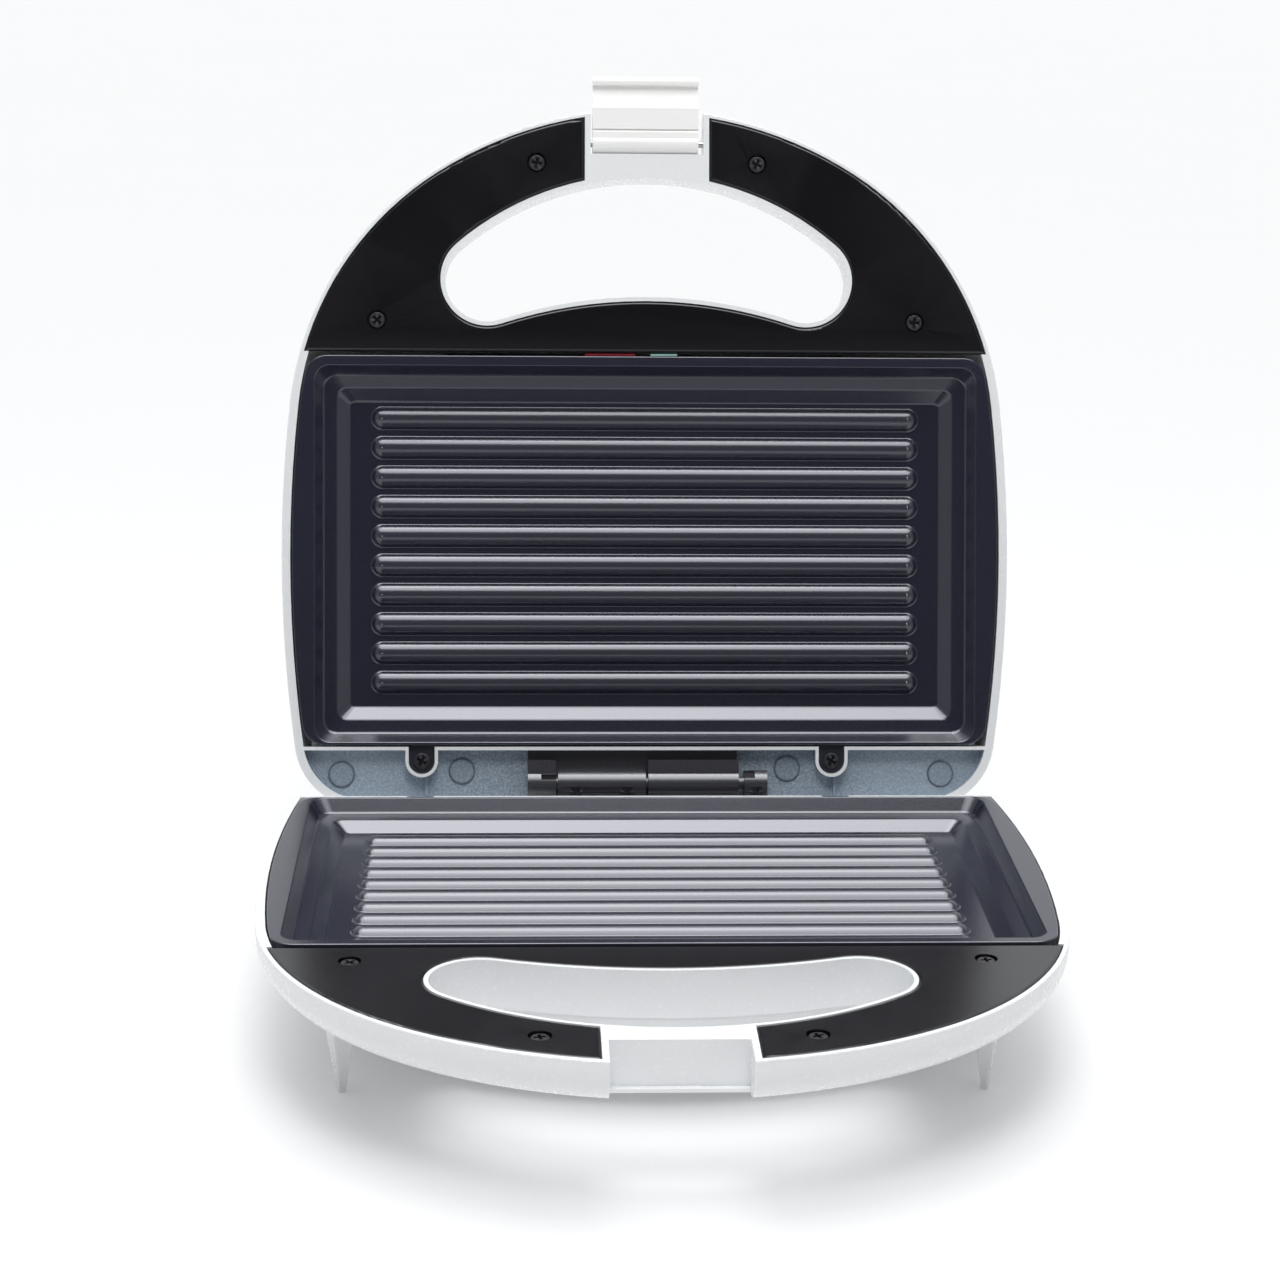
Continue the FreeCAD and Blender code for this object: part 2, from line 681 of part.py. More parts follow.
def plate_ears(ear_drop):
    ears = []
    top = -half_gap - ear_drop
    for x in ear_spots:
        ear = disc(x, ear_reach, ear_half, top - ear_thickness, top)
        ear = ear.fuse(block(x - ear_half, x + ear_half, ear_reach, plate_rear + 2.0,
                             top - ear_thickness, top))
        ear = ear.cut(disc(x, ear_reach, screw_shank_radius + screw_hole_fit, band_floor, 0))
        ear = ear.cut(tray(0.0, 0.0))
        ears.append(ear)
    return ears


def shield_screw_spots():
    spots = []
    for x in (-shield_screw_x, shield_screw_x):
        for v in (plate_rear + shield_screw_inset, plate_front - shield_screw_inset):
            spots.append((x, v))
    return spots


def plate_underside():
    return -rim_depth - tray_depth - plate_thickness


def plate_bosses():
    bosses = []
    top = plate_underside() + 0.5
    for x, v in shield_screw_spots():
        boss = disc(x, v, boss_radius, -shield_depth, top)
        bosses.append(boss.cut(disc(x, v, screw_shank_radius + screw_fit, -shield_depth,
                                    -shield_depth + shield_pilot)))
    return bosses


# ================================================================ heating
def heater():
    """U-shaped tubular element under the plate, open to the rear, with cold pins."""
    z = plate_underside() - heater_radius
    bend = heater_bend
    rear = plate_rear + heater_rear
    front = plate_front - heater_front
    path = [
        Part.makeLine(plan(-heater_half, rear, z), plan(-heater_half, front - bend, z)),
        Part.Arc(plan(-heater_half, front - bend, z),
                 plan(-heater_half + bend * (1 - sqrt(0.5)), front - bend * (1 - sqrt(0.5)), z),
                 plan(-heater_half + bend, front, z)).toShape(),
        Part.makeLine(plan(-heater_half + bend, front, z), plan(heater_half - bend, front, z)),
        Part.Arc(plan(heater_half - bend, front, z),
                 plan(heater_half - bend * (1 - sqrt(0.5)), front - bend * (1 - sqrt(0.5)), z),
                 plan(heater_half, front - bend, z)).toShape(),
        Part.makeLine(plan(heater_half, front - bend, z), plan(heater_half, rear, z)),
    ]
    circle = Part.Wire(Part.makeCircle(heater_radius, plan(-heater_half, rear, z), V(0, 1, 0)))
    tube = Part.Wire(path).makePipeShell([circle], True, False)
    pins = []
    for x in (-heater_half, heater_half):
        pins.append(Part.makeCylinder(heater_pin_radius, heater_pin_length, plan(x, rear, z),
                                      V(0, 1, 0)))
    return fuse([tube] + pins)


def heat_shield():
    """Pressed tray that hangs under the plate on its four bosses."""
    half = shield_half
    rear, front = shield_gap - gland_inner(), plate_front - 16.0
    floor = -shield_depth - shield_thickness
    rim = plate_underside() - 0.2
    outer = prism(rounded_rectangle(half, rear, front, 8.0, 0.0), rim, floor)
    inner = prism(rounded_rectangle(half - shield_thickness, rear + shield_thickness,
                                    front - shield_thickness, 7.0, 0.0), rim + 1,
                  floor + shield_thickness)
    shield = outer.cut(inner)
    for x, v in shield_screw_spots():
        shield = shield.cut(disc(x, v, screw_shank_radius + 0.2, floor - 1, floor + 5))
    for x in (-heater_half, heater_half):
        shield = shield.cut(block(x - 5, x + 5, rear - 1, rear + 2,
                                  plate_underside() - 2 * heater_radius - 1.5, rim + 1))
    return shield


def shield_screws():
    """Screws driven up through the shield into the plate's bosses."""
    screws = []
    floor = -shield_depth - shield_thickness
    for x, v in shield_screw_spots():
        one = screw(x, v, 0.0, shield_screw_length)
        one = one.mirror(V(0, 0, 0), V(0, 0, 1))
        one.translate(V(0, 0, floor - screw_head_height))
        screws.append(one)
    return screws


def thermostat():
    """Bimetal thermostat clipped under the heat shield."""
    z = -shield_depth - shield_thickness
    half_x, half_v = thermostat_half
    rear = thermostat_v - half_v
    low = z - thermostat_height
    base = block(-half_x, half_x, rear, thermostat_v + half_v, low, z)
    cap = disc(0, thermostat_v, thermostat_cap_radius, low - thermostat_cap_height, low)
    tags = [block(x - tag_half, x + tag_half, rear - tag_length, rear, low + 0.6, low + 1.4)
            for x in (-tag_x, tag_x)]
    return fuse([base, cap] + tags)


def thermal_fuse():
    """Sleeved thermal fuse held along the heat shield."""
    z = -shield_depth - shield_thickness - fuse_radius
    half, reach = fuse_length / 2.0, fuse_lead_length / 2.0
    body = rod(fuse_x - half, fuse_x + half, fuse_radius, fuse_v, z)
    leads = rod(fuse_x - reach, fuse_x + reach, fuse_lead_radius, fuse_v, z)
    return fuse([body, leads])


def terminal_block():
    """Three-way terminal block on the floor of the base."""
    z = tub_floor + wall
    rear = tub_rear + tub_draft + wall + tub_round
    front = rear + terminal_length
    foot = z + terminal_base
    parts = []
    for x in terminal_x:
        parts.append(block(x - terminal_half, x + terminal_half, rear, front, z, foot))
        parts.append(block(x - terminal_half + 1, x + terminal_half - 1, rear + 2, front - 2,
                           foot, foot + terminal_top))
    whole = fuse(parts)
    for x in terminal_x:
        whole = whole.cut(Part.makeCylinder(terminal_bore, terminal_length + 2,
                                            plan(x, front + 1, foot + 1), V(0, 1, 0)))
    return whole


# ================================================================ hinge
def knuckle(span, radius=barrel_radius):
    return rod(span[0], span[1], radius)


def bored(shape):
    return shape.cut(rod(-60, 60, pin_radius + running_gap))


def base_bracket():
    """Knuckles that belong to the base, on a foot screwed to the shelf."""
    foot_top = -shelf_drop + bracket_plate
    foot = block(base_barrel[0], base_ear[1], 3.0, cross_wall_rear, -shelf_drop, foot_top)
    parts = [foot, knuckle(base_barrel), knuckle(base_ear)]
    for x0, x1 in (base_barrel, base_ear):
        parts.append(block(x0, x1, 2.3, 7.4, -shelf_drop, 0.8 - barrel_radius))
        parts.append(block(x0, x1, -0.5, 5.0, -barrel_radius - 0.8, -barrel_radius / 2.0))
    bracket = bored(fuse(parts))
    window = block(base_ear[0] - 0.1, base_ear[0] + 3.3, -2.0, 5.0, 2.6, 5.0)
    bracket = bracket.cut(window)
    for x in base_screws_x:
        bracket = bracket.cut(disc(x, base_screws_v, screw_head_radius + screw_hole_fit,
                                   foot_top - bracket_screw_sunk, 0))
        bracket = bracket.cut(disc(x, base_screws_v, screw_shank_radius + screw_hole_fit,
                                   -shelf_drop - 1, 0))
    return bracket


def base_bracket_screws():
    top = -shelf_drop + bracket_plate - bracket_screw_sunk + screw_head_height
    return [screw(x, base_screws_v, top, bracket_screw_length) for x in base_screws_x]


def lid_bracket():
    """Knuckles that belong to the lid, on a plate screwed into the pocket."""
    floor = -half_gap - pocket_depth
    plate = block(lid_ear[0], lid_barrel[1], -4.6, cross_wall_rear, floor,
                  floor + bracket_plate * 0.6)
    parts = [plate, knuckle(lid_barrel), knuckle(lid_ear)]
    for x0, x1 in (lid_barrel, lid_ear):
        parts.append(block(x0, x1, sleeve_v + sleeve_radius + 0.1, 3.4, floor, -1.0))
        parts.append(block(x0, x1, 0.0, web_reach, -3.2, 2.6))
        parts.append(block(x0, x1, 3.0, web_reach, floor, -3.0))
    bracket = bored(fuse(parts))
    notch = block(lid_ear[0] + 4.2, lid_ear[1] + 0.1, 1.0, 3.0, 1.6, 5.0)
    bracket = bracket.cut(notch)
    for x in lid_screws_x:
        bracket = bracket.cut(disc(x, lid_screws_v, screw_shank_radius + screw_hole_fit,
                                   floor - 1, 0))
    x0, x1 = sleeve_span
    margin = sleeve_radius + 0.3
    return bracket.cut(block(x0 - margin, x1 + margin, -rear_reach, sleeve_v + margin,
                             floor - 1, sleeve_run() - 1.0))


def lid_bracket_screws():
    radius, height = lid_screw_head
    seat = -half_gap - pocket_depth + bracket_plate * 0.6
    screws = []
    for x in lid_screws_x:
        head = disc(x, lid_screws_v, radius, seat, seat + height)
        shank = disc(x, lid_screws_v, screw_shank_radius, seat - bracket_screw_length, seat)
        screws.append(fuse([head, shank]))
    return screws


def hinge_pin():
    return rod(lid_ear[0] + 0.4, base_ear[1] - 0.4, pin_radius)


# ================================================================ latch
def latch():
    """Snap-over clip, lying in line with the lid, with its hook facing the base side."""
    z = -latch_pivot_height
    x0, x1 = latch_offset - latch_half, latch_offset + latch_half
    hook_end = latch_hook_reach + latch_hook_thickness
    face = -latch_face_rise
    groove = latch_block_reach + latch_groove

    def at(reach, height):
        """Point of the clip's section, from its pivot: along the clip, and into the lid."""
        return V(x0, -(pivot_reach + reach), z - height)

    inner_root = at(latch_hook_reach, -0.4)
    hook_tip_in = at(latch_hook_reach, -latch_hook_tip)
    hook_tip_out = at(hook_end, -latch_hook_tip + 0.6)
    outer_low = at(hook_end, 2.4)
    outer_back = at(hook_end - 2.0, 4.4)
    outer_start = at(latch_block_reach, latch_barrel_radius - 0.2)
    inner_start = at(latch_block_reach, face + latch_groove_depth)
    hollow_start = at(latch_flat_end, face)
    edges = [
        Part.makeLine(inner_start, at(groove, face + latch_groove_depth)),
        Part.makeLine(at(groove, face + latch_groove_depth), at(groove, face)),
        Part.makeLine(at(groove, face), hollow_start),
        Part.Arc(hollow_start, at(latch_flat_end + 4.6, face + 1.6), inner_root).toShape(),
        Part.makeLine(inner_root, hook_tip_in),
        Part.Arc(hook_tip_in, at(hook_end - 0.9, -latch_hook_tip - 0.2), hook_tip_out).toShape(),
        Part.makeLine(hook_tip_out, outer_low),
        Part.Arc(outer_low, at(hook_end - 0.6, 3.8), outer_back).toShape(),
        Part.Arc(outer_back, at(latch_flat_end - 1.0, 3.4), outer_start).toShape(),
        Part.makeLine(outer_start, inner_start),
    ]
    skin = Part.Face(Part.Wire(edges)).extrude(V(x1 - x0, 0, 0))
    barrel = rod(x0, x1, latch_barrel_radius, pivot_reach, z)
    block_low = pivot_reach - latch_block_drop
    section = block(x0, x1, block_low, pivot_reach + latch_block_reach, z,
                    z + latch_face_rise)
    long_front = lambda edge: edge.BoundBox.XLength > 1.0 and lies_at(z + latch_face_rise)(edge)
    section = round_edges(section, latch_block_round, long_front)
    filler = block(x0, x1, pivot_reach, pivot_reach + latch_block_reach,
                   z - latch_barrel_radius + 0.2, z)
    whole = fuse([barrel, section, filler, skin])
    return whole.cut(rod(x0 - 1, x1 + 1, latch_pin_radius + running_gap, pivot_reach, z))


def latch_pin():
    reach = notch_half + edge_lip
    return rod(-reach, reach, latch_pin_radius, pivot_reach, -latch_pivot_height)


# ================================================================ indicator lamps
def lens_front():
    return frame_rear + lens_length


def lens(span):
    """Window in the lid's outer face with a light guide down to the gap before the plate."""
    x0, x1 = span
    window = block(x0, x1, frame_rear - lens_guide - lens_guide_gap, lens_front(),
                   tub_floor - lens_proud, tub_floor + wall)
    guide = block(x0, x1, frame_rear - lens_guide - lens_guide_gap, frame_rear - lens_guide_gap,
                  tub_floor + wall, -half_gap - lens_sink)
    return fuse([window, guide])


def neon_lamps():
    """Two small neon lamps behind their windows."""
    lamps = []
    for x0, x1 in lens_x:
        middle = (x0 + x1) / 2.0
        lamps.append(rod(middle - 4.0, middle + 4.0, lamp_radius, frame_rear + 4.4,
                         tub_floor + wall + lamp_radius + 1.0))
    return lamps


def lamp_holder():
    """Clip strip that holds both lamps against the lid's partition."""
    z = tub_floor + wall
    strip = block(-21.0, 12.0, frame_rear + partition_wall,
                  frame_rear + partition_wall + 0.8, z + 0.4, z + 9.0)
    arms = []
    for x0, x1 in lens_x:
        middle = (x0 + x1) / 2.0
        arms.append(block(middle - 1.0, middle + 1.0, frame_rear + 2.0, frame_rear + 6.4,
                          z + 2 * lamp_radius + 1.0, z + 2 * lamp_radius + 2.0))
    return fuse([strip] + arms)


# ================================================================ legs, gland, lead
def leg(x, v, top, turn):
    """Tapered fin with a spigot into the housing."""
    wires = []
    for size, z in ((leg_top, top), (leg_tip, -floor_drop)):
        half_x, half_y = size[0] / 2.0, size[1] / 2.0
        wires.append(rounded_rectangle(half_x, -half_y, half_y, leg_corner, z))
    fin = Part.makeLoft(wires, True, True)
    spigot = Part.makeCylinder(spigot_radius, wall, V(0, 0, top - 0.01))
    whole = fuse([fin, spigot])
    whole.rotate(V(0, 0, 0), V(0, 0, 1), turn)
    whole.translate(V(x, -v, 0))
    return whole


def front_legs():
    x, v = leg_spot
    return [leg(-x, v, band_floor, leg_turn), leg(x, v, band_floor, -leg_turn)]


def rear_legs():
    x, v = rear_leg_spot
    return [leg(-x, v, band_floor, 0.0), leg(x, v, band_floor, 0.0)]


def gland_face():
    """y of the drafted rear wall at the top of the gland's flange."""
    rise = band_floor + wall - tub_floor
    top = gland_spot[1] + gland_body + gland_flange
    return -tub_rear - tub_draft * (band_floor + wall - top) / rise


def gland_inner():
    """y of the gland's inner end."""
    return gland_face() - wall - gland_tail


def cord_gland():
    """Bush in the rear wall of the tub, for the mains lead."""
    x, z = gland_spot
    rear_face = gland_face()
    inner = gland_inner()
    body = Part.makeCylinder(gland_body, rear_face - inner, V(x, inner, z), V(0, 1, 0))
    flange = Part.makeCylinder(gland_body + gland_flange, gland_flange, V(x, rear_face, z),
                               V(0, 1, 0))
    outer = rear_face + gland_flange
    flange = round_edges(flange, 0.8, lambda edge: abs(edge.BoundBox.YMin - outer) < 1e-4
                         and edge.BoundBox.YLength < 1e-4)
    whole = fuse([body, flange])
    return whole.cut(Part.makeCylinder(gland_bore, 20.0, V(x, inner - 1.0, z), V(0, 1, 0)))


def sleeve_run():
    """z of the sleeve's straight run, clear of the knuckle in front of it."""
    reach = barrel_radius + sleeve_radius + sleeve_gap
    return -sqrt(reach**2 - sleeve_v**2)


def lead_sleeve():
    """Braided sleeve of the lead to the lid, looped through the pocket behind a knuckle."""
    floor = -half_gap - pocket_depth
    v = sleeve_v
    bend = sleeve_bend
    x0, x1 = sleeve_span
    run = sleeve_run()
    start = plan(x0, v, floor)
    path = [
        Part.makeLine(start, plan(x0, v, run - bend)),
        Part.Arc(plan(x0, v, run - bend),
                 plan(x0 + bend * (1 - sqrt(0.5)), v, run - bend * (1 - sqrt(0.5))),
                 plan(x0 + bend, v, run)).toShape(),
        Part.makeLine(plan(x0 + bend, v, run), plan(x1 - bend, v, run)),
        Part.Arc(plan(x1 - bend, v, run),
                 plan(x1 - bend * (1 - sqrt(0.5)), v, run - bend * (1 - sqrt(0.5))),
                 plan(x1, v, run - bend)).toShape(),
        Part.makeLine(plan(x1, v, run - bend), plan(x1, v, floor)),
    ]
    circle = Part.Wire(Part.makeCircle(sleeve_radius, start, V(0, 0, 1)))
    return Part.Wire(path).makePipeShell([circle], True, False)


# ================================================================ assembly
def as_shape(piece):
    return Part.makeCompound(piece) if isinstance(piece, list) else piece


def base_parts():
    return {
        "lower_housing": base_housing(),
        "lower_handle_frame": handle_frame(),
        "lower_grill_plate": grill_plate(ear_drops[0]),
        "lower_frame_screws": frame_screws(),
        "lower_plate_screws": ear_screws(ear_drops[0]),
        "lower_heating_element": heater(),
        "lower_heat_shield": heat_shield(),
        "lower_shield_screws": shield_screws(),
        "thermostat": thermostat(),
        "thermal_fuse": thermal_fuse(),
        "terminal_block": terminal_block(),
        "hinge_base_bracket": base_bracket(),
        "hinge_base_screws": base_bracket_screws(),
        "hinge_pin": hinge_pin(),
        "front_legs": front_legs(),
        "rear_legs": rear_legs(),
        "cord_gland": cord_gland(),
    }


def lid_parts():
    return {
        "upper_housing": lid_housing(),
        "upper_handle_frame": handle_frame(),
        "upper_grill_plate": grill_plate(ear_drops[1]),
        "upper_frame_screws": frame_screws(),
        "upper_plate_screws": ear_screws(ear_drops[1]),
        "upper_heating_element": heater(),
        "upper_heat_shield": heat_shield(),
        "upper_shield_screws": shield_screws(),
        "hinge_lid_bracket": lid_bracket(),
        "hinge_lid_screws": lid_bracket_screws(),
        "hinge_lead_sleeve": lead_sleeve(),
        "red_indicator_lens": lens(lens_x[0]),
        "green_indicator_lens": lens(lens_x[1]),
        "neon_lamps": neon_lamps(),
        "lamp_holder": lamp_holder(),
        "latch_pin": latch_pin(),
        "latch_clip": latch(),
    }


def open_up(shape):
    """Turns a lid piece over onto the base and swings it open."""
    shape = shape.mirror(V(0, 0, 0), V(0, 0, 1))
    shape.rotate(V(0, 0, 0), V(1, 0, 0), -lid_open_angle)
    return shape


def main():
    parts = {name: as_shape(piece) for name, piece in base_parts().items()}
    for name, piece in lid_parts().items():
        parts[name] = open_up(as_shape(piece))
    box = Part.makeCompound(list(parts.values())).optimalBoundingBox(False, False)
    shift = V(0, -(box.YMin + box.YMax) / 2.0, floor_drop)
    os.makedirs("parts", exist_ok=True)
    for name, shape in parts.items():
        shape.translate(shift)
        shape.exportStep(f"parts/{name}.step")
        state = "ok" if shape.isValid() else "INVALID"
        print(f"{name}: {len(shape.Solids)} solids, {shape.Volume:.0f} mm3, {state}")
    reach, height = pivot_reach, latch_pivot_height
    turn = radians(lid_open_angle)
    latch_y = -reach * cos(turn) + height * sin(turn) + shift.y
    latch_z = reach * sin(turn) + height * cos(turn) + shift.z
    print(f"hinge axis y {shift.y:.4f} z {shift.z:.4f}")
    print(f"gland face y {gland_face() + gland_flange + shift.y:.4f}")
    print(f"gland length {wall + gland_tail + gland_flange:.4f}")
    print(f"latch axis y {latch_y:.4f} z {latch_z:.4f}")
    print(f"box x {box.XMin:.2f} {box.XMax:.2f}  y {box.YMin + shift.y:.2f} {box.YMax + shift.y:.2f}"
          f"  z {box.ZMin + shift.z:.2f} {box.ZMax + shift.z:.2f}")


main()
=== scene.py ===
"""Looks of the panini press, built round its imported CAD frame. Lengths are metres in the part's frame."""
import json
import math

import bmesh
import bpy
from mathutils import Matrix, Vector

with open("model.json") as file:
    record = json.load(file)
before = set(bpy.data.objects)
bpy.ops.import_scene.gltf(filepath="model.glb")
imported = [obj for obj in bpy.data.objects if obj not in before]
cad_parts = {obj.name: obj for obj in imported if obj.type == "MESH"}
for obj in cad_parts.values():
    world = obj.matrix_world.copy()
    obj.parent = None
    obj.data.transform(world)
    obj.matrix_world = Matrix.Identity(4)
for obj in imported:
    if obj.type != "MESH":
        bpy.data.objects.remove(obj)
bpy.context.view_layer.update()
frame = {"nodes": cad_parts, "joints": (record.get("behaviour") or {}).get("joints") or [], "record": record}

NODES = frame["nodes"]
JOINTS = {joint["name"]: joint for joint in frame["joints"]}
HINGE = Vector(JOINTS["lid_hinge"]["pos_m"])
MM = 0.001


# ------------------------------------------------------------------ node helpers
class Tree:
    """A material's node tree, with short calls that add a node and give back its output."""

    def __init__(self, name):
        self.material = bpy.data.materials.new(name)
        self.material.use_nodes = True
        self.nodes = self.material.node_tree.nodes
        self.links = self.material.node_tree.links
        self.nodes.clear()
        output = self.nodes.new("ShaderNodeOutputMaterial")
        self.shader = self.nodes.new("ShaderNodeBsdfPrincipled")
        self.links.new(self.shader.outputs[0], output.inputs["Surface"])
        self.place = self.nodes.new("ShaderNodeTexCoord").outputs["Object"]

    def feed(self, socket, value):
        """Links an output to the socket, or sets a plain value on it."""
        if isinstance(value, bpy.types.NodeSocket):
            self.links.new(value, socket)
        else:
            socket.default_value = value

    def set(self, **values):
        """Sets or links inputs of the main shader; underscores stand for spaces."""
        for name, value in values.items():
            self.feed(self.shader.inputs[name.replace("_", " ")], value)

    def noise(self, scale, detail=2.0, rough=0.5, stretch=None, seed=0.0):
        node = self.nodes.new("ShaderNodeTexNoise")
        node.noise_dimensions = "4D"
        node.inputs["W"].default_value = seed
        node.inputs["Scale"].default_value = scale
        node.inputs["Detail"].default_value = detail
        node.inputs["Roughness"].default_value = rough
        self.feed(node.inputs["Vector"], self.stretched(stretch) if stretch else self.place)
        return node.outputs["Fac"]

    def stretched(self, scale):
        node = self.nodes.new("ShaderNodeMapping")
        node.inputs["Scale"].default_value = scale
        self.links.new(self.place, node.inputs["Vector"])
        return node.outputs[0]

    def cells(self, scale):
        node = self.nodes.new("ShaderNodeTexVoronoi")
        node.inputs["Scale"].default_value = scale
        self.links.new(self.place, node.inputs["Vector"])
        return node.outputs["Distance"]

    def ramp(self, value, low, high, out_low=0.0, out_high=1.0):
        node = self.nodes.new("ShaderNodeMapRange")
        node.inputs["From Min"].default_value = low
        node.inputs["From Max"].default_value = high
        node.inputs["To Min"].default_value = out_low
        node.inputs["To Max"].default_value = out_high
        self.links.new(value, node.inputs["Value"])
        return node.outputs["Result"]

    def math(self, kind, a, b=0.0):
        node = self.nodes.new("ShaderNodeMath")
        node.operation = kind
        self.feed(node.inputs[0], a)
        self.feed(node.inputs[1], b)
        return node.outputs[0]

    def mix(self, share, a, b):
        node = self.nodes.new("ShaderNodeMix")
        node.data_type = "RGBA"
        self.feed(node.inputs["Factor"], share)
        self.feed(node.inputs[6], a)
        self.feed(node.inputs[7], b)
        return node.outputs[2]

    def worn(self, share, colour, bare):
        """Blends towards the bare colour on convex edges."""
        point = self.nodes.new("ShaderNodeNewGeometry").outputs["Pointiness"]
        edge = self.ramp(point, 0.5, 0.55)
        return self.mix(self.math("MULTIPLY", edge, share), colour, bare)

    def bump(self, height, depth, strength):
        node = self.nodes.new("ShaderNodeBump")
        node.inputs["Distance"].default_value = depth
        node.inputs["Strength"].default_value = strength
        self.links.new(height, node.inputs["Height"])
        return node.outputs[0]


def rgb(r, g, b):
    return (r, g, b, 1.0)


def dimmed(colour, share):
    return rgb(*[share * channel for channel in colour])


# ------------------------------------------------------------------ materials
WHITE = (0.80, 0.812, 0.825)      # the two housings' moulding
WHITE_ROUGH = 0.26
ACETAL = (0.90, 0.90, 0.885)      # the warmer white of the latch


def moulded_tree(name, tint, rough):
    """Glossy white moulding: faint clouding, fine grain in its gloss, paler edges."""
    tree = Tree(name)
    cloud = tree.noise(35.0, 3.0, seed=1.0)
    speck = tree.noise(900.0, 2.0, seed=2.0)
    colour = tree.mix(cloud, dimmed(tint, 0.985), rgb(*tint))
    colour = tree.worn(0.35, colour, dimmed(tint, 1.04))
    tree.set(Base_Color=colour, Roughness=tree.ramp(speck, 0.3, 0.7, rough - 0.01, rough + 0.02))
    tree.set(Normal=tree.bump(tree.noise(60.0, 0.0, seed=3.0), 0.002 * MM, 0.2), IOR=1.49)
    return tree, colour


def moulded_white(name, tint, rough):
    tree, _ = moulded_tree(name, tint, rough)
    return tree.material


LEAN = math.radians(JOINTS["lid_hinge"]["range_deg"][1] - 90.0)      # the open lid's, from upright
POCKET_TOP = (10.6 * MM, 10.0 * MM)      # height up the lid where the painted pocket shade fades out
POCKET_NEAR = (1.6 * MM, 2.4 * MM)       # depths into the lid where it fades in and out
POCKET_DEEP = (9.0 * MM, 8.0 * MM)
POCKET_DISCS = ((-95.9, 2.4), (-58.0, 3.4), (45.0, 4.2), (94.0, 2.4))   # mm across, up the lid
DISC_RADIUS = 3.9 * MM


def lid_place(tree):
    """Splits a point of the open lid into across, depth into the lid, and height up the lid."""
    shift = tree.nodes.new("ShaderNodeVectorMath")
    shift.operation = "SUBTRACT"
    tree.links.new(tree.place, shift.inputs[0])
    shift.inputs[1].default_value = HINGE
    turn = tree.nodes.new("ShaderNodeVectorRotate")
    turn.rotation_type = "X_AXIS"
    turn.inputs["Angle"].default_value = LEAN
    tree.links.new(shift.outputs[0], turn.inputs["Vector"])
    split = tree.nodes.new("ShaderNodeSeparateXYZ")
    tree.links.new(turn.outputs[0], split.inputs[0])
    return split.outputs


def disc_reach(tree, across, rise, x, v):
    """Distance from the middle of a moulded disc, measured on the lid's inner face."""
    aside = tree.math("SUBTRACT", across, x * MM)
    above = tree.math("SUBTRACT", rise, v * MM)
    squares = tree.math("ADD", tree.math("MULTIPLY", aside, aside),
                        tree.math("MULTIPLY", above, above))
    return tree.math("SQRT", squares)


def moulded_lid():
    """The white moulding again; in the pocket at the hinge, painted shade in dark blue-grey over the
    pocket's eroded grain.
    """
    tree, plain = moulded_tree("moulded_lid", WHITE, WHITE_ROUGH)
    across, depth, rise = lid_place(tree)
    inside = tree.math("MULTIPLY", tree.ramp(rise, *POCKET_TOP), tree.ramp(depth, *POCKET_NEAR))
    inside = tree.math("MULTIPLY", inside, tree.ramp(depth, *POCKET_DEEP))
    # Painted shade: the pocket is coloured dark blue-grey, darker towards the middle and lighter towards the
    # sides, with its eroded grain mixed in.
    shade = tree.ramp(tree.math("ABSOLUTE", across), 20.0 * MM, 75.0 * MM)
    pocket_shade = tree.mix(shade, rgb(0.20, 0.245, 0.30), rgb(0.31, 0.375, 0.445))
    grain = tree.noise(1500.0, 3.0, 0.75, seed=18.0)
    pocket_shade = tree.mix(tree.ramp(grain, 0.42, 0.72), pocket_shade, rgb(0.52, 0.60, 0.68))
    # Painted shade: a dark ring round each moulded disc and a darker disc face.
    for x, v in POCKET_DISCS:
        reach = disc_reach(tree, across, rise, x, v)
        rim = tree.math("ABSOLUTE", tree.math("SUBTRACT", reach, DISC_RADIUS))
        disc_rim_shade = tree.ramp(rim, 0.55 * MM, 0.1 * MM, 0.0, 0.75)
        pocket_shade = tree.mix(disc_rim_shade, pocket_shade, rgb(0.07, 0.09, 0.12))
        disc_face_shade = tree.ramp(reach, DISC_RADIUS - 0.2 * MM, DISC_RADIUS - 0.5 * MM, 0.0, 0.35)
        pocket_shade = tree.mix(disc_face_shade, pocket_shade, rgb(0.16, 0.2, 0.25))
    tree.set(Base_Color=tree.mix(inside, plain, pocket_shade))
    return tree.material


def polished_black():
    tree = Tree("polished_black")
    cloud = tree.noise(60.0, 2.0, seed=4.0)
    speck = tree.noise(1400.0, 3.0, seed=5.0)
    colour = tree.mix(cloud, rgb(0.0025, 0.0023, 0.0035), rgb(0.004, 0.0037, 0.0052))
    colour = tree.worn(0.25, colour, rgb(0.03, 0.03, 0.033))
    tree.set(Base_Color=colour, Roughness=tree.ramp(speck, 0.35, 0.75, 0.19, 0.27))
    tree.set(Normal=tree.bump(tree.noise(120.0, 1.0, seed=6.0), 0.02 * MM, 0.5), IOR=1.5)
    return tree.material


COOL_SHINE = rgb(0.93, 0.94, 1.0)        # the faint blue of the dark parts' highlights


def coated_plate():
    """Sprayed non-stick coating: fine grain, pale flecks and thinner colour on the ridges."""
    tree = Tree("coated_plate")
    grain = tree.noise(2600.0, 3.0, 0.7, seed=7.0)
    fleck = tree.ramp(tree.cells(2200.0), 0.16, 0.05)
    cloud = tree.noise(45.0, 3.0, seed=8.0)
    colour = tree.mix(cloud, rgb(0.0115, 0.0128, 0.025), rgb(0.0165, 0.018, 0.032))
    colour = tree.mix(tree.math("MULTIPLY", fleck, 0.35), colour, rgb(0.12, 0.12, 0.14))
    colour = tree.worn(0.3, colour, rgb(0.07, 0.07, 0.085))
    tree.set(Base_Color=colour, Roughness=tree.ramp(grain, 0.3, 0.7, 0.17, 0.25))
    tree.set(Normal=tree.bump(grain, 0.02 * MM, 0.7), IOR=1.72, Specular_Tint=COOL_SHINE)
    return tree.material


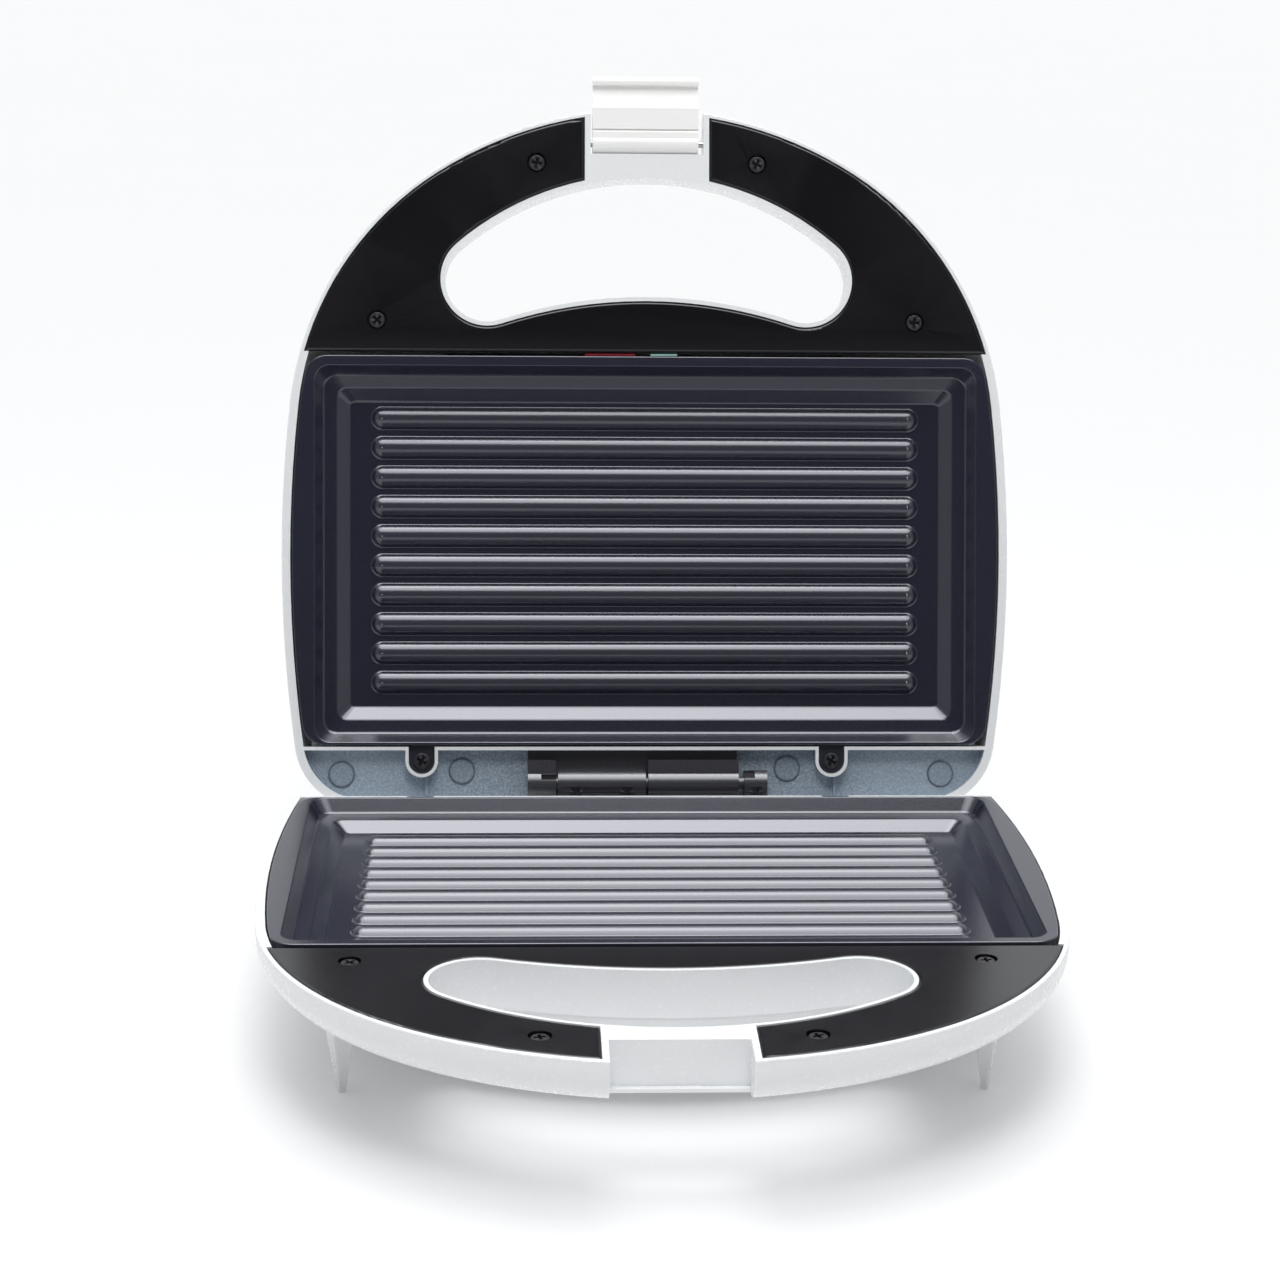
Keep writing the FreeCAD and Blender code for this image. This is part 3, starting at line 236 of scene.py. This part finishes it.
def satin_black():
    tree = Tree("satin_black")
    grain = tree.noise(1800.0, 3.0, 0.6, seed=9.0)
    colour = tree.mix(grain, rgb(0.011, 0.011, 0.019), rgb(0.018, 0.018, 0.028))
    colour = tree.worn(0.5, colour, rgb(0.06, 0.06, 0.065))
    tree.set(Base_Color=colour, Roughness=tree.ramp(grain, 0.3, 0.7, 0.26, 0.36))
    tree.set(Normal=tree.bump(grain, 0.006 * MM, 0.4), IOR=1.75, Specular_Tint=COOL_SHINE)
    return tree.material


def blackened_steel():
    tree = Tree("blackened_steel")
    grain = tree.noise(2500.0, 3.0, 0.6, seed=10.0)
    colour = tree.mix(grain, rgb(0.010, 0.010, 0.012), rgb(0.02, 0.02, 0.023))
    colour = tree.worn(0.6, colour, rgb(0.14, 0.14, 0.15))
    tree.set(Base_Color=colour, Roughness=tree.ramp(grain, 0.3, 0.7, 0.28, 0.42), Metallic=0.4)
    tree.set(Normal=tree.bump(grain, 0.015 * MM, 0.6))
    return tree.material


def plain_metal(name, colour, rough, stretch=(1.0, 1.0, 1.0)):
    """Bare metal with light staining; stretch draws its grain out along an axis."""
    tree = Tree(name)
    grain = tree.noise(1500.0, 3.0, 0.6, stretch=stretch, seed=12.0)
    stain = tree.noise(90.0, 3.0, seed=13.0)
    tree.set(Base_Color=tree.mix(stain, dimmed(colour, 0.85), rgb(*colour)), Metallic=1.0)
    tree.set(Roughness=tree.ramp(grain, 0.3, 0.7, rough - 0.06, rough + 0.08))
    tree.set(Normal=tree.bump(grain, 0.01 * MM, 0.6))
    return tree.material


def plain_moulding(name, colour, rough, bump=0.02):
    """Plain grained material for the small inner parts; bump is in mm."""
    tree = Tree(name)
    grain = tree.noise(1200.0, 3.0, 0.6, seed=14.0)
    tree.set(Base_Color=tree.mix(grain, dimmed(colour, 0.88), rgb(*colour)))
    tree.set(Roughness=tree.ramp(grain, 0.3, 0.7, rough - 0.05, rough + 0.07))
    tree.set(Normal=tree.bump(grain, bump * MM, 0.6))
    return tree.material


def lens_plastic(name, colour):
    tree = Tree(name)
    haze = tree.noise(400.0, 2.0, seed=15.0)
    tree.set(Base_Color=tree.mix(haze, dimmed(colour, 0.85), rgb(*colour)))
    tree.set(Roughness=tree.ramp(haze, 0.3, 0.7, 0.08, 0.16), Transmission_Weight=0.35, IOR=1.49)
    tree.set(Normal=tree.bump(haze, 0.01 * MM, 0.4))
    return tree.material


def lamp_glass():
    tree = Tree("lamp_glass")
    haze = tree.noise(700.0, 2.0, seed=16.0)
    tree.set(Base_Color=tree.mix(haze, rgb(0.9, 0.78, 0.7), rgb(0.98, 0.9, 0.86)))
    tree.set(Roughness=tree.ramp(haze, 0.3, 0.7, 0.02, 0.06), Transmission_Weight=0.8, IOR=1.5)
    return tree.material


MATERIALS = {
    "white_housing": moulded_white("moulded_white", WHITE, WHITE_ROUGH),
    "latch_white": moulded_white("latch_white", ACETAL, 0.24),
    "black_frame": polished_black(),
    "nonstick": coated_plate(),
    "hinge_black": satin_black(),
    "black_screw": blackened_steel(),
    "heater_steel": plain_metal("plain_steel", (0.5, 0.5, 0.5), 0.32),
    "shield_aluminium": plain_metal("mill_aluminium", (0.78, 0.79, 0.8), 0.34, (1, 12, 1)),
    "ceramic_body": plain_moulding("unglazed_ceramic", (0.78, 0.76, 0.7), 0.6, 0.05),
    "fuse_sleeve": plain_moulding("glass_sleeve", (0.5, 0.4, 0.28), 0.75, 0.05),
    "gland_black": plain_moulding("gland_rubber", (0.02, 0.02, 0.021), 0.5, 0.03),
    "red_lens": lens_plastic("red_plastic", (0.36, 0.03, 0.05)),
    "green_lens": lens_plastic("green_plastic", (0.50, 0.85, 0.78)),
    "lamp_glass": lamp_glass(),
    "lamp_holder_plastic": plain_moulding("holder_plastic", (0.8, 0.8, 0.78), 0.4),
}
OWN_MATERIAL = {"upper_housing": moulded_lid()}      # nodes that don't use their slot's plain one


def dress_nodes():
    """Gives each CAD node the material of its slot, or its own."""
    slots = {row["node"]: row["material_slot"] for row in frame["record"]["subparts"]}
    for name, node in NODES.items():
        node.data.materials.clear()
        node.data.materials.append(OWN_MATERIAL.get(name) or MATERIALS[slots[name]])


# ------------------------------------------------------------------ studio
CAMERA_FROM_HINGE = Vector((-39.42, -838.43, 280.4)) * MM
PITCH, YAW, ROLL = (math.radians(angle) for angle in (15.595, 2.523, 0.735))
SENSOR_WIDTH = 36.0       # mm
FOCAL_LENGTH = 78.951     # mm
SHIFT_UP = 0.0014
FLOOR_RADIUS = 8.0
CAMERA_SIDE = (0.0, -0.95, 0.31)      # way to the dim part of the surroundings
WHITE_LIGHT = rgb(1.0, 1.0, 1.0)


def placed(name, data):
    """Adds an object to the scene."""
    made = bpy.data.objects.new(name, data)
    bpy.context.scene.collection.objects.link(made)
    return made


def make_camera():
    """Long lens in front of the press, a little to its left, looking down at it."""
    ahead = Vector((math.sin(YAW) * math.cos(PITCH), math.cos(YAW) * math.cos(PITCH),
                    -math.sin(PITCH)))
    right = Vector((math.cos(YAW), -math.sin(YAW), 0.0))
    up = right.cross(ahead)
    turned_right = right * math.cos(ROLL) + up * math.sin(ROLL)
    turned_up = up * math.cos(ROLL) - right * math.sin(ROLL)
    data = bpy.data.cameras.new("camera")
    data.sensor_width = SENSOR_WIDTH
    data.lens = FOCAL_LENGTH
    data.shift_y = SHIFT_UP
    data.clip_start, data.clip_end = 0.01, 50.0
    camera = placed("camera", data)
    turn = Matrix((turned_right, turned_up, -ahead)).transposed()
    camera.matrix_world = Matrix.Translation(HINGE + CAMERA_FROM_HINGE) @ turn.to_4x4()
    bpy.context.scene.camera = camera


def make_floor():
    """Round pale floor."""
    mesh = bpy.data.meshes.new("floor")
    work = bmesh.new()
    bmesh.ops.create_circle(work, cap_ends=True, segments=96, radius=FLOOR_RADIUS)
    work.to_mesh(mesh)
    work.free()
    floor = placed("floor", mesh)
    tree = Tree("floor_paint")
    cloud = tree.noise(3.0, 2.0, seed=20.0)
    tree.set(Base_Color=tree.mix(cloud, rgb(0.68, 0.68, 0.68), rgb(0.69, 0.69, 0.69)))
    tree.set(Roughness=0.9, Emission_Color=WHITE_LIGHT, Emission_Strength=0.14)
    tree.set(Specular_IOR_Level=0.1)
    mesh.materials.append(tree.material)


def sun(name, tilt, turn, width, strength, shine_only=False):
    """Distant round softbox: tilted from overhead towards the rear, then turned about Z."""
    data = bpy.data.lights.new(name, "SUN")
    data.angle = math.radians(width)
    data.energy = strength
    lamp = placed(name, data)
    lamp.rotation_euler = (math.radians(tilt), 0.0, math.radians(turn))
    lamp.visible_diffuse = not shine_only


def front_fill(place, aim, size, power):
    """Soft lamp above the camera that lifts the faces turned to it without a reflection."""
    data = bpy.data.lights.new("front_fill", "AREA")
    data.shape = "DISK"
    data.size = size
    data.energy = power
    lamp = placed("front_fill", data)
    lamp.location = place
    lamp.rotation_euler = (Vector(aim) - Vector(place)).to_track_quat("-Z", "Y").to_euler()
    lamp.visible_glossy = False


class Surroundings:
    """The world's node tree: brightest behind the press, dim round the camera, white to view."""

    def __init__(self):
        world = bpy.data.worlds.new("studio")
        bpy.context.scene.world = world
        world.use_nodes = True
        self.nodes, self.links = world.node_tree.nodes, world.node_tree.links
        self.nodes.clear()

    def ramp(self, source, low, high, out_low, out_high):
        node = self.nodes.new("ShaderNodeMapRange")
        node.interpolation_type = "SMOOTHSTEP"
        values = (("From Min", low), ("From Max", high), ("To Min", out_low), ("To Max", out_high))
        for name, value in values:
            node.inputs[name].default_value = value
        self.links.new(source, node.inputs["Value"])
        return node.outputs[0]

    def background(self, colour):
        node = self.nodes.new("ShaderNodeBackground")
        node.inputs["Color"].default_value = colour
        return node

    def make(self):
        nodes, links = self.nodes, self.links
        way = nodes.new("ShaderNodeTexCoord").outputs["Generated"]
        split = nodes.new("ShaderNodeSeparateXYZ")
        links.new(way, split.inputs[0])
        aim = nodes.new("ShaderNodeVectorMath")
        aim.operation = "DOT_PRODUCT"
        aim.inputs[1].default_value = CAMERA_SIDE
        links.new(way, aim.inputs[0])
        total = nodes.new("ShaderNodeMath")
        total.operation = "MULTIPLY"
        links.new(self.ramp(split.outputs["Y"], 0.0, 0.8, 0.5, 0.95), total.inputs[0])
        links.new(self.ramp(aim.outputs["Value"], 0.62, 0.9, 1.0, 0.16), total.inputs[1])
        lit = self.background(rgb(0.96, 0.98, 1.0))
        links.new(total.outputs[0], lit.inputs["Strength"])
        seen = self.background(WHITE_LIGHT)
        choice = nodes.new("ShaderNodeMixShader")
        links.new(nodes.new("ShaderNodeLightPath").outputs["Is Camera Ray"], choice.inputs[0])
        links.new(lit.outputs[0], choice.inputs[1])
        links.new(seen.outputs[0], choice.inputs[2])
        output = nodes.new("ShaderNodeOutputWorld")
        links.new(choice.outputs[0], output.inputs["Surface"])


def make_studio():
    make_camera()
    make_floor()
    Surroundings().make()
    sun("tent_top", tilt=-2.0, turn=0.0, width=70.0, strength=1.25)
    sun("overhead", tilt=-4.0, turn=30.0, width=30.0, strength=0.7)
    sun("shine", tilt=8.0, turn=0.0, width=64.0, strength=3.6, shine_only=True)
    front_fill(place=(-0.02, -0.45, 0.75), aim=(0.0, 0.05, 0.15), size=0.3, power=2.1)
    bpy.context.scene.view_settings.view_transform = "Standard"


dress_nodes()
make_studio()
